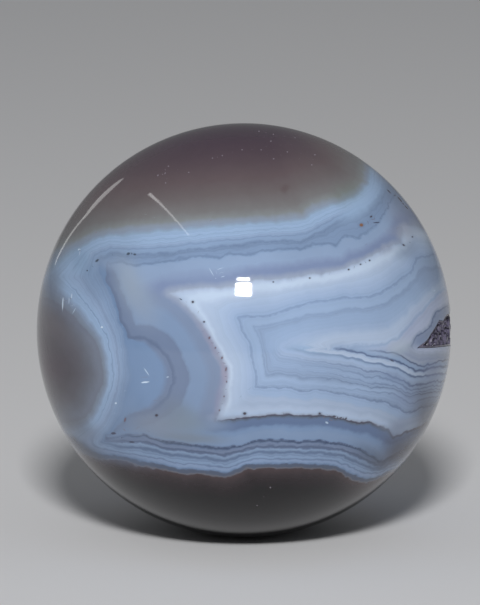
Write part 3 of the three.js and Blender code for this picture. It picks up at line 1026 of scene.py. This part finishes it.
def store_pattern(mesh):
    """Gives the ball's vertices all that its material reads."""
    points = mesh_points(mesh)
    radius = np.linalg.norm(points, axis=1)
    outward = points * (SURFACE_RADIUS / radius)[:, None]
    face = outward @ FACE_AXES.T
    places = pattern_places(outward)
    level, zone, walls = band_levels(places)
    level = fan_levels(places, level, walls[:, WALLS.index("bottom")])
    tint, tint_strength = tints(places, face)
    fine = [np.interp(level, *zip(*FINE_LAYERS[wall])) for wall in WALLS]
    depth = np.interp(level, range(len(FRONT_DEPTHS)), FRONT_DEPTHS)
    store(mesh, "level", level)
    store(mesh, "zone", zone)
    store(mesh, "walls", walls)
    store(mesh, "fine", (walls * np.stack(fine, 1)).sum(1))
    store(mesh, "line_share", line_fades(places))
    store(mesh, "across", places[:, 0])
    for number, (line, rise, *_) in enumerate(VEINS):
        store(mesh, f"vein_{number}", line_offset(places, line) - rise)
    store(mesh, "depth", np.where(level < 0, level, depth))
    store(mesh, "tint", tint)
    store(mesh, "tint_strength", tint_strength)
    store(mesh, "mark", nearest_marks(face))
    store(mesh, "under", SURFACE_RADIUS - radius)


def make_ball():
    directions, faces = fine_sphere(BALL_CUTS)
    points = gathered(directions, FACE_CLOSENESS) * SURFACE_RADIUS
    ball = new_object("agate_ball_polished", points, faces)
    combine(ball, pocket_form("pocket", 0), "DIFFERENCE")
    edit(ball, cut_flat)
    store_pattern(ball.data)
    polish_normals(ball.data)
    return ball


class Nodes:
    """A new material, and short calls that add shader nodes to it and join them."""

    def __init__(self, name):
        self.material = bpy.data.materials.new(name)
        self.material.use_nodes = True
        self.tree = self.material.node_tree
        self.tree.nodes.clear()

    def add(self, kind, inputs=(), **settings):
        node = self.tree.nodes.new("ShaderNode" + kind)
        for name, value in settings.items():
            setattr(node, name, value)
        for socket, value in dict(inputs).items():
            self.put(node.inputs[socket], value)
        return node

    def put(self, socket, value):
        if isinstance(value, bpy.types.NodeSocket):
            self.tree.links.new(value, socket)
        else:
            socket.default_value = value

    def finish(self, inputs):
        """Ends the material with one shader, and returns it."""
        shader = self.add("BsdfPrincipled", inputs)
        self.add("OutputMaterial", {"Surface": shader.outputs[0]})
        return self.material

    def math(self, operation, *values):
        return self.add("Math", enumerate(values), operation=operation).outputs[0]

    def product(self, first, *others):
        for other in others:
            first = self.math("MULTIPLY", first, other)
        return first

    def vector(self, operation, *values):
        return self.add("VectorMath", enumerate(values), operation=operation).outputs["Vector"]

    def scaled(self, colour, share):
        inputs = {0: colour, "Scale": share}
        return self.add("VectorMath", inputs, operation="SCALE").outputs["Vector"]

    def span(self, value, low, high, to_low=0.0, to_high=1.0, smooth=False):
        """A value's share of the way from low to high, spread between two other values."""
        kind = "SMOOTHSTEP" if smooth else "LINEAR"
        inputs = {0: value, 1: low, 2: high, 3: to_low, 4: to_high}
        return self.add("MapRange", inputs, interpolation_type=kind).outputs[0]

    def mix(self, share, first, second):
        inputs = {"Factor": share, 6: first, 7: second}
        return self.add("Mix", inputs, data_type="RGBA").outputs[2]

    def attribute(self, name, output="Fac"):
        return self.add("Attribute", attribute_name=name).outputs[output]

    def parts(self, name):
        """The three parts of a vector that the vertices carry."""
        return self.add("SeparateXYZ", {0: self.attribute(name, "Vector")}).outputs

    def noise(self, scale, detail, roughness=0.5, **at):
        """A smooth random value, by place (Vector) or by a single number (W)."""
        inputs = {"Scale": scale, "Detail": detail, "Roughness": roughness, **at}
        kind = "1D" if "W" in at else "3D"
        return self.add("TexNoise", inputs, noise_dimensions=kind).outputs["Fac"]

    def varied(self, name, to_low=0.0, to_high=1.0, smooth=False):
        """One of the noises at each place in the object, spread between two values."""
        scale, detail, low, high = NOISES[name]
        place = self.add("TexCoord").outputs["Object"]
        value = self.noise(scale, detail, Vector=place)
        return self.span(value, low, high, to_low, to_high, smooth)

    def line_loss(self, fan, left_kept, right_kept):
        """The share of light that a dark line takes, from its left to its right end."""
        low, high = (1 - kept**DISPLAY_POWER for kept in (left_kept, right_kept))
        return low if low == high else self.span(fan, 0, 1, low, high)

    def line_kept(self, off, half, loss):
        """The share of light that is kept at a distance off a dark line's middle."""
        return self.math("SUBTRACT", 1.0, self.span(off, half, half * LINE_CORE, 0.0, loss))

    def tinted_loss(self, kept, share, tint):
        """Turns a kept share of light into one for each colour, with part of the loss."""
        loss = self.product(share, self.math("SUBTRACT", 1.0, kept))
        return self.vector("SUBTRACT", (1.0, 1.0, 1.0), self.scaled(tint, loss))


def lines_kept(nodes, lines, level, zone, fan, vary, share):
    """The share of red, green and blue light that a wall's thin lines let through."""
    blue, brown = 1.0, 1.0
    for at, half, left_kept, right_kept in lines:
        off = nodes.math("ABSOLUTE", nodes.math("SUBTRACT", level, at))
        off = nodes.product(off, zone, vary)
        kept = nodes.line_kept(off, half, nodes.line_loss(fan, left_kept, right_kept))
        if at == BROWN_LINE:
            brown = nodes.product(brown, kept)
        else:
            blue = nodes.product(blue, kept)
    result = nodes.tinted_loss(blue, share, LINE_TINT)
    if brown != 1.0:
        result = nodes.vector("MULTIPLY", result, nodes.tinted_loss(brown, share, BROWN_TINT))
    return result


def veins_kept(nodes, across, fan, vary):
    """The share of light that the darkest lines at the right let through."""
    result = 1.0
    for number, (_, _, half, start, left_kept, right_kept) in enumerate(VEINS):
        off = nodes.product(nodes.math("ABSOLUTE", nodes.attribute(f"vein_{number}")), vary)
        onset = nodes.span(across, *(start + ahead for ahead in VEIN_ONSET))
        loss = nodes.product(nodes.line_loss(fan, left_kept, right_kept), onset)
        result = nodes.product(result, nodes.line_kept(off, half, loss))
    return nodes.tinted_loss(result, 1.0, LINE_TINT)


def band_colour(nodes, level, bands):
    """The colour at a level, from as many colour ramps as the bands fill."""
    stops = [(at, opaque(COLOURS[name])) for at, name in bands]
    last = len(stops) - 1
    result = None
    start = 0
    while start < last:
        low = stops[start][0]
        end = start + 1
        while end < last and stops[end + 1][0] - max(low, -LONGEST_RAMP) <= LONGEST_RAMP:
            end += 1
        high = stops[end][0]
        ramp = nodes.add("ValToRGB", {0: nodes.span(level, low, high)})
        elements = ramp.color_ramp.elements
        for index, (stop, value) in enumerate(stops[start : end + 1]):
            place = (stop - low) / (high - low)
            element = elements[index] if index < 2 else elements.new(place)
            element.position = place
            element.color = value
        if result is None:
            result = ramp.outputs[0]
        else:
            result = nodes.mix(nodes.math("GREATER_THAN", level, low), result, ramp.outputs[0])
        start = end
    return result


def crinkled_level(nodes, level, zone, top_share):
    """The level with the small wobble of real bands, and the finer crinkle of the top wall."""
    crinkle = nodes.product(
        nodes.varied("crinkle", -CRINKLE, CRINKLE),
        top_share,
        nodes.span(level, *CRINKLED[:2]),
        nodes.span(level, *CRINKLED[:1:-1]),
    )
    shift = nodes.math("ADD", nodes.varied("wobble", -WOBBLE, WOBBLE), crinkle)
    return nodes.math("ADD", level, nodes.math("DIVIDE", shift, zone))


def fine_layers(nodes, colour):
    """Fine layers of the same stone, a fraction of a millimetre apart, that follow the bands,
    with thin dark hairs between them."""
    fine = nodes.attribute("fine")
    drift = nodes.varied("layer drift", -LAYER_DRIFT, LAYER_DRIFT)
    depth = nodes.math("ADD", nodes.attribute("depth"), drift)
    layers = nodes.noise(*LAYER_NOISE, W=depth)
    layers = nodes.span(layers, *LAYER_RANGE, -LAYER_STRENGTH, LAYER_STRENGTH)
    colour = nodes.scaled(colour, nodes.math("MULTIPLY_ADD", layers, fine, 1.0))
    crossing = nodes.noise(*HAIR_NOISE, W=nodes.math("ADD", depth, HAIR_OFFSET))
    crossing = nodes.math("ABSOLUTE", nodes.math("SUBTRACT", crossing, 0.5))
    hair = nodes.product(nodes.span(crossing, *HAIR_WIDTHS, 0, -HAIR_STRENGTH), fine)
    return nodes.scaled(colour, nodes.math("ADD", hair, 1.0))


def mark_colour(nodes, colour):
    """Draws the small marks, each in the frame that its points carry."""
    along, beside, kind = nodes.parts("mark")
    flat = nodes.add("CombineXYZ", {0: along, 1: beside}).outputs[0]
    away = nodes.add("VectorMath", {0: flat}, operation="LENGTH").outputs["Value"]
    away = nodes.math("ADD", away, nodes.varied("mark edge", -MARK_RAGGED, MARK_RAGGED))
    shown = nodes.span(away, *MARK_EDGE, smooth=True)
    shadow = nodes.span(away, *SHADOW_EDGE, smooth=True)
    dark = nodes.math("LESS_THAN", kind, DARK_MARK_KINDS - 0.5)
    share = nodes.product(shadow, dark, SHADOW_STRENGTH)
    colour = nodes.mix(share, colour, opaque(COLOURS["shade"]))
    for number, (shade, _) in enumerate(MARKS):
        same = nodes.math("COMPARE", kind, number, 0.4)
        colour = nodes.mix(nodes.product(same, shown), colour, opaque(shade))
    return colour


def make_agate():
    nodes = Nodes("polished_agate")
    zone = nodes.attribute("zone")
    walls = nodes.parts("walls")
    level = crinkled_level(nodes, nodes.attribute("level"), zone, walls[0])
    across = nodes.attribute("across")
    fan = nodes.span(across, *FAN_REACH)
    vary = nodes.varied("line width", *LINE_WIDTHS)
    share = nodes.attribute("line_share")
    colour = None
    for number, wall in enumerate(WALLS):
        bands, lines = WALL_BANDS[wall]
        kept = lines_kept(nodes, lines, level, zone, fan, vary, share)
        kept = nodes.scaled(kept, walls[number])
        shade = nodes.vector("MULTIPLY", band_colour(nodes, level, bands), kept)
        colour = shade if colour is None else nodes.vector("ADD", colour, shade)
    colour = nodes.vector("MULTIPLY", colour, veins_kept(nodes, across, fan, vary))
    colour = fine_layers(nodes, colour)
    colour = nodes.scaled(colour, nodes.varied("cloud", *CLOUDS))
    colour = nodes.mix(nodes.attribute("tint_strength"), colour, nodes.attribute("tint", "Color"))
    colour = mark_colour(nodes, colour)

    # The rough wall of the pocket
    wall = nodes.span(nodes.attribute("under"), *WALL_DEPTHS)
    grain = nodes.varied("wall grain", *WALL_GRAIN)
    colour = nodes.mix(wall, colour, nodes.scaled(tuple(linear(COLOURS["vug"])), grain))
    roughness = nodes.math("ADD", nodes.varied("wear", 0, AGATE_WEAR), AGATE_ROUGHNESS)
    roughness = nodes.math("ADD", roughness, nodes.product(wall, WALL_ROUGHNESS))
    return nodes.finish({
        "Base Color": colour,
        "Roughness": roughness,
        "IOR": AGATE_IOR,
        "Subsurface Weight": AGATE_GLOW,
        "Subsurface Radius": AGATE_GLOW_RADII,
        "Subsurface Scale": AGATE_GLOW_REACH,
    })


def crystal(number, start, end, collection):
    """One six-sided quartz point that grows out of the pocket's wall, small where the pocket
    is narrow."""
    random = np.random.default_rng(CRYSTAL_SEED + number)
    along = start + (end - start) * (number + random.random()) / CRYSTAL_COUNT
    growth = min(MOST_GROWTH, pocket_heights(along)[1] / FULL_HALF_WIDTH)
    turn = CRYSTAL_SPREAD * random.uniform(-1, 1)
    foot = pocket_point(along, turn, sum(CRUST_INSETS) / 2)
    axis = pocket_point(along, turn, CRYSTAL_AIM) - foot
    axis = axis / np.linalg.norm(axis) + CRYSTAL_LEAN * random.uniform(-1, 1, 3)
    axis /= np.linalg.norm(axis)
    side = np.cross(axis, CRYSTAL_ASIDE)
    side /= np.linalg.norm(side)
    other = np.cross(axis, side)
    least, most = CRYSTAL_RADII
    radius = (least + (most - least) * random.random() ** CRYSTAL_SIZE_POWER) * growth
    prism = (PRISM_START + radius * random.uniform(*CRYSTAL_LENGTHS)) * growth
    tip = radius * random.uniform(*TIP_LENGTHS)
    rise = foot @ axis
    room = math.sqrt(rise**2 + (SURFACE_RADIUS - CRYSTAL_GAP) ** 2 - foot @ foot) - rise
    prism = max(min(prism, room - tip - TIP_DEPTHS * random.random()), SHORTEST_PRISM)
    first_turn = random.uniform(0, math.pi)
    points = []
    for height in (-CRYSTAL_ROOT, prism):
        for corner in range(6):
            angle = first_turn + corner * math.pi / 3
            reach = radius * (1 + CRYSTAL_UNEVEN * math.sin(3 * angle + number))
            ring = math.cos(angle) * side + math.sin(angle) * other
            points.append(foot + axis * height + ring * reach)
    points.append(foot + axis * (prism + tip))
    faces = [(5, 4, 3, 2, 1, 0)]
    for corner in range(6):
        after = (corner + 1) % 6
        faces.append((corner, after, after + 6, corner + 6))
        faces.append((corner + 6, after + 6, 12))
    new_object(f"crystal_{number}", points, faces, collection)


def make_druse():
    crust = pocket_form("quartz_druse_crystals", CRUST_INSETS[0])
    room = pocket_form("room", CRUST_INSETS[0] + CRUST_TRIM)
    hollow = pocket_form("hollow", CRUST_INSETS[1], HOLLOW_MESH)
    combine(crust, hollow, "DIFFERENCE")
    crystals = bpy.data.collections.new("crystals")
    bpy.context.scene.collection.children.link(crystals)
    rows = wide_rows(TIP_CRYSTALS, POCKET_MESH[0])
    for number in range(CRYSTAL_COUNT):
        crystal(number, rows[0], rows[-1], crystals)
    combine(crust, crystals, "UNION")
    bpy.data.collections.remove(crystals)
    combine(crust, room, "INTERSECT")
    directions, faces = fine_sphere(LIMIT_CUTS)
    limit = new_object("limit", directions * (SURFACE_RADIUS - CRYSTAL_GAP), faces)
    combine(crust, limit, "INTERSECT")
    edit(crust, keep_largest)
    crust.data.shade_flat()
    return crust


def make_quartz():
    """Smoky violet quartz, with small bright spots where light gets caught inside."""
    nodes = Nodes("clear_quartz")
    cloud = nodes.varied("quartz cloud")
    colour = nodes.mix(cloud, opaque(QUARTZ_DARK), opaque(QUARTZ_LIGHT))
    spots = nodes.varied("quartz spots", smooth=True)
    return nodes.finish({
        "Base Color": nodes.mix(spots, colour, opaque(QUARTZ_SPOTS)),
        "Roughness": nodes.varied("quartz polish", *QUARTZ_ROUGHNESS),
        "IOR": QUARTZ_IOR,
        "Transmission Weight": QUARTZ_TRANSMISSION,
    })


def make_floor():
    half = FLOOR_HALF_WIDTH
    corners = [(-half, -half, 0), (half, -half, 0), (half, half, 0), (-half, half, 0)]
    mesh = bpy.data.meshes.new("floor")
    mesh.from_pydata(corners, [], [(0, 1, 2, 3)])
    mesh.materials.append(Nodes("floor_paper").finish(FLOOR_LOOK))
    floor = bpy.data.objects.new("floor", mesh)
    bpy.context.scene.collection.objects.link(floor)


def area_light(name, place, size, power, shape="RECTANGLE", run=None, spread=math.pi):
    """A lamp at a place on the face's directions, in metres. It faces the ball, or as nearly
    as its long side's run lets it."""
    data = bpy.data.lights.new(name, "AREA")
    data.shape = shape
    data.size, data.size_y = size
    data.energy = power
    data.spread = spread
    lamp = bpy.data.objects.new(name, data)
    lamp.location = face_place(*(value / MM for value in place))
    back = (lamp.location - CENTRE).normalized()
    if run is None:
        side = Vector((0, 0, 1)).cross(back).normalized()
    else:
        side = Vector(run @ FACE_AXES).normalized()
    back = (back - back.dot(side) * side).normalized()
    lamp.rotation_euler = Matrix((side, back.cross(side), back)).transposed().to_euler()
    lamp.visible_camera = False
    bpy.context.scene.collection.objects.link(lamp)


def make_lights():
    for name, place, size, power in SOFTBOXES:
        area_light(name, place, size, power, spread=SOFTBOX_SPREAD)
    for name, start, end, width, power, shape in STRIP_LAMPS:
        start, end = np.array(start), np.array(end)
        size = (np.linalg.norm(end - start), width)
        area_light(name, (start + end) / 2, size, power, shape, end - start)
    world = bpy.data.worlds.new("studio")
    world.use_nodes = True
    world.node_tree.nodes["Background"].inputs[0].default_value = SKY_COLOUR
    world.node_tree.nodes["Background"].inputs[1].default_value = SKY_POWER
    bpy.context.scene.world = world


make_camera()

ball = make_ball()
ball.data.materials.clear()
ball.data.materials.append(make_agate())
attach(ball, "root")
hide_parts("agate_ball")

druse = make_druse()
druse.data.materials.clear()
druse.data.materials.append(make_quartz())
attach(druse, "root")
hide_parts("quartz_druse")

make_floor()
make_lights()
bpy.context.scene.view_settings.view_transform = "Standard"
